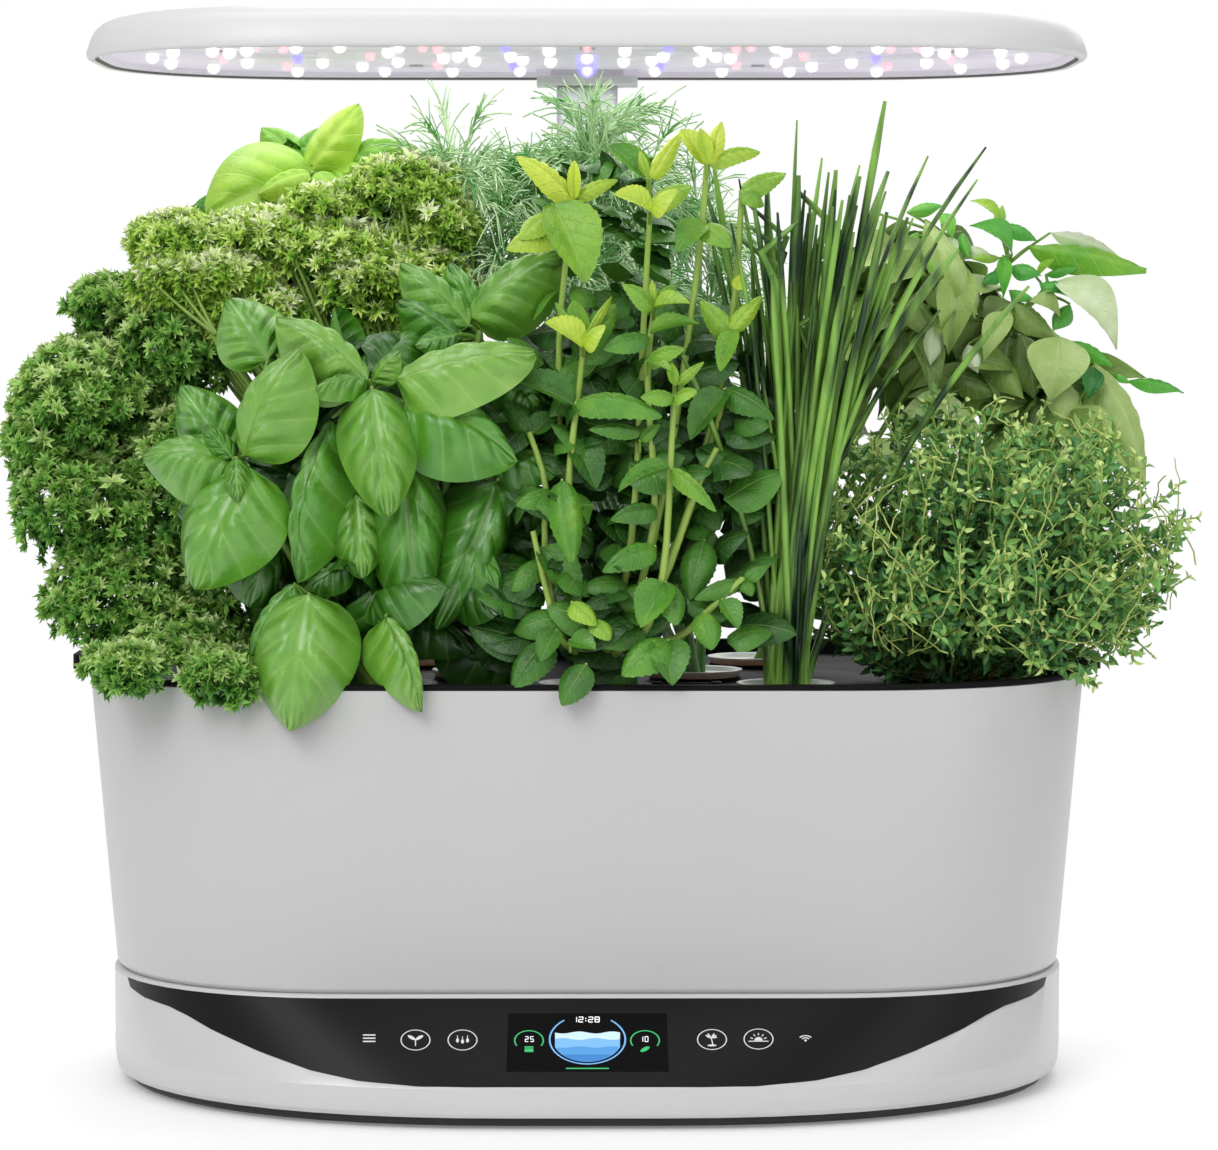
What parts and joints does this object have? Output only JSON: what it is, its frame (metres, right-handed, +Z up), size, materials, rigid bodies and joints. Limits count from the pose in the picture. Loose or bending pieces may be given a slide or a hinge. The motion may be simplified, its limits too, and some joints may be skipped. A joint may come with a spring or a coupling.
{
  "type": "countertop hydroponic garden",
  "caption": "Countertop hydroponic garden: water bowl with planted herb baskets on a base with a sloped touch panel, under a lamp hood on a telescoping post.",
  "frame": {"origin": "centre of the footprint on the counter, under the feet", "axes": "+Z up, -Y the front with the touch panel, +X to the right seen from the front"},
  "size_m": [0.5, 0.3, 0.447],
  "materials": {
    "silver_white": "satin",
    "dark_pan": "matt",
    "foot_rubber": "matt",
    "steel": "plain",
    "panel_black": "gloss",
    "display": "gloss",
    "board_green": "solder mask",
    "module_metal": "plain",
    "black_plastic": "matt",
    "contact_brass": "plated",
    "post_aluminium": "painted light grey",
    "hood_white": "satin",
    "lens_clear": "clear",
    "lamp_board": "white mask",
    "led_white": "lit",
    "led_red": "lit",
    "led_blue": "lit",
    "bowl_grey": "satin",
    "deck_black": "satin",
    "sponge_brown": "open-pored",
    "collar_white": "satin",
    "rotor_orange": "matt",
    "filter_foam": "open-pored",
    "tube_grey": "matt",
    "leaf_basil_front": "living leaf",
    "leaf_mint": "living leaf",
    "leaf_chives": "living leaf",
    "leaf_parsley_dark": "living leaf",
    "leaf_parsley_bright": "living leaf",
    "leaf_dill": "living leaf",
    "leaf_thyme": "living leaf",
    "leaf_basil_rear": "living leaf",
    "leaf_basil_pointed": "living leaf"
  },
  "bodies": {
    "base": {"base_shell": "silver_white", "base_pan": "dark_pan", "rubber_feet": "foot_rubber", "base_screws": "steel", "touch_panel": "panel_black", "display_module": "display", "control_board": "board_green", "wifi_module": "module_metal", "power_board": "board_green", "dc_inlet": "black_plastic", "post_sleeve": "silver_white", "contact_pins": "contact_brass"},
    "lower_post": {"lower_tube": "post_aluminium"},
    "middle_post": {"middle_tube": "post_aluminium"},
    "lamp": {"upper_tube": "post_aluminium", "hood_bracket": "hood_white", "hood_shell": "hood_white", "hood_lens": "lens_clear", "led_board": "lamp_board", "white_leds": "led_white", "red_leds": "led_red", "blue_leds": "led_blue", "hood_screws": "steel"},
    "reservoir": {"bowl": "bowl_grey", "contact_plate": "contact_brass", "grow_deck": "deck_black", "lid_pin": "steel", "grow_baskets": "deck_black", "grow_sponges": "sponge_brown", "pod_collars": "collar_white", "pump_body": "black_plastic", "pump_cover": "dark_pan", "pump_filter": "filter_foam", "riser_tube": "tube_grey", "float_guide": "tube_grey", "basil_front": "leaf_basil_front", "mint": "leaf_mint", "chives": "leaf_chives", "parsley_dark": "leaf_parsley_dark", "parsley_bright": "leaf_parsley_bright", "dill": "leaf_dill", "thyme": "leaf_thyme", "basil_rear": "leaf_basil_rear", "basil_pointed": "leaf_basil_pointed"},
    "lid": {"fill_lid": "deck_black"},
    "impeller": {"pump_impeller": "rotor_orange"},
    "float": {"water_float": "rotor_orange"}
  },
  "joints": [
    {"name": "lower_post_slide", "type": "slide", "parent": "base", "child": "lower_post", "axis": [0, 0, 1], "range_m": [0, 0.12]},
    {"name": "middle_post_slide", "type": "slide", "parent": "lower_post", "child": "middle_post", "axis": [0, 0, 1], "range_m": [0, 0.125]},
    {"name": "lamp_slide", "type": "slide", "parent": "middle_post", "child": "lamp", "axis": [0, 0, 1], "range_m": [0, 0.12]},
    {"name": "reservoir_slide", "type": "slide", "parent": "base", "child": "reservoir", "axis": [0, -0.9992, 0.04], "range_m": [0, 0.25]},
    {"name": "lid_hinge", "type": "hinge", "parent": "reservoir", "child": "lid", "pos_m": [0.04, -0.0893, 0.1681], "axis": [-1, 0, 0], "range_deg": [0, 95]},
    {"name": "impeller_spin", "type": "hinge", "parent": "reservoir", "child": "impeller", "pos_m": [0, 0.0604, 0.0635], "axis": [0, 0, 1], "continuous": true},
    {"name": "float_slide", "type": "slide", "parent": "reservoir", "child": "float", "axis": [0, 0, -1], "range_m": [0, 0.07]}
  ]
}
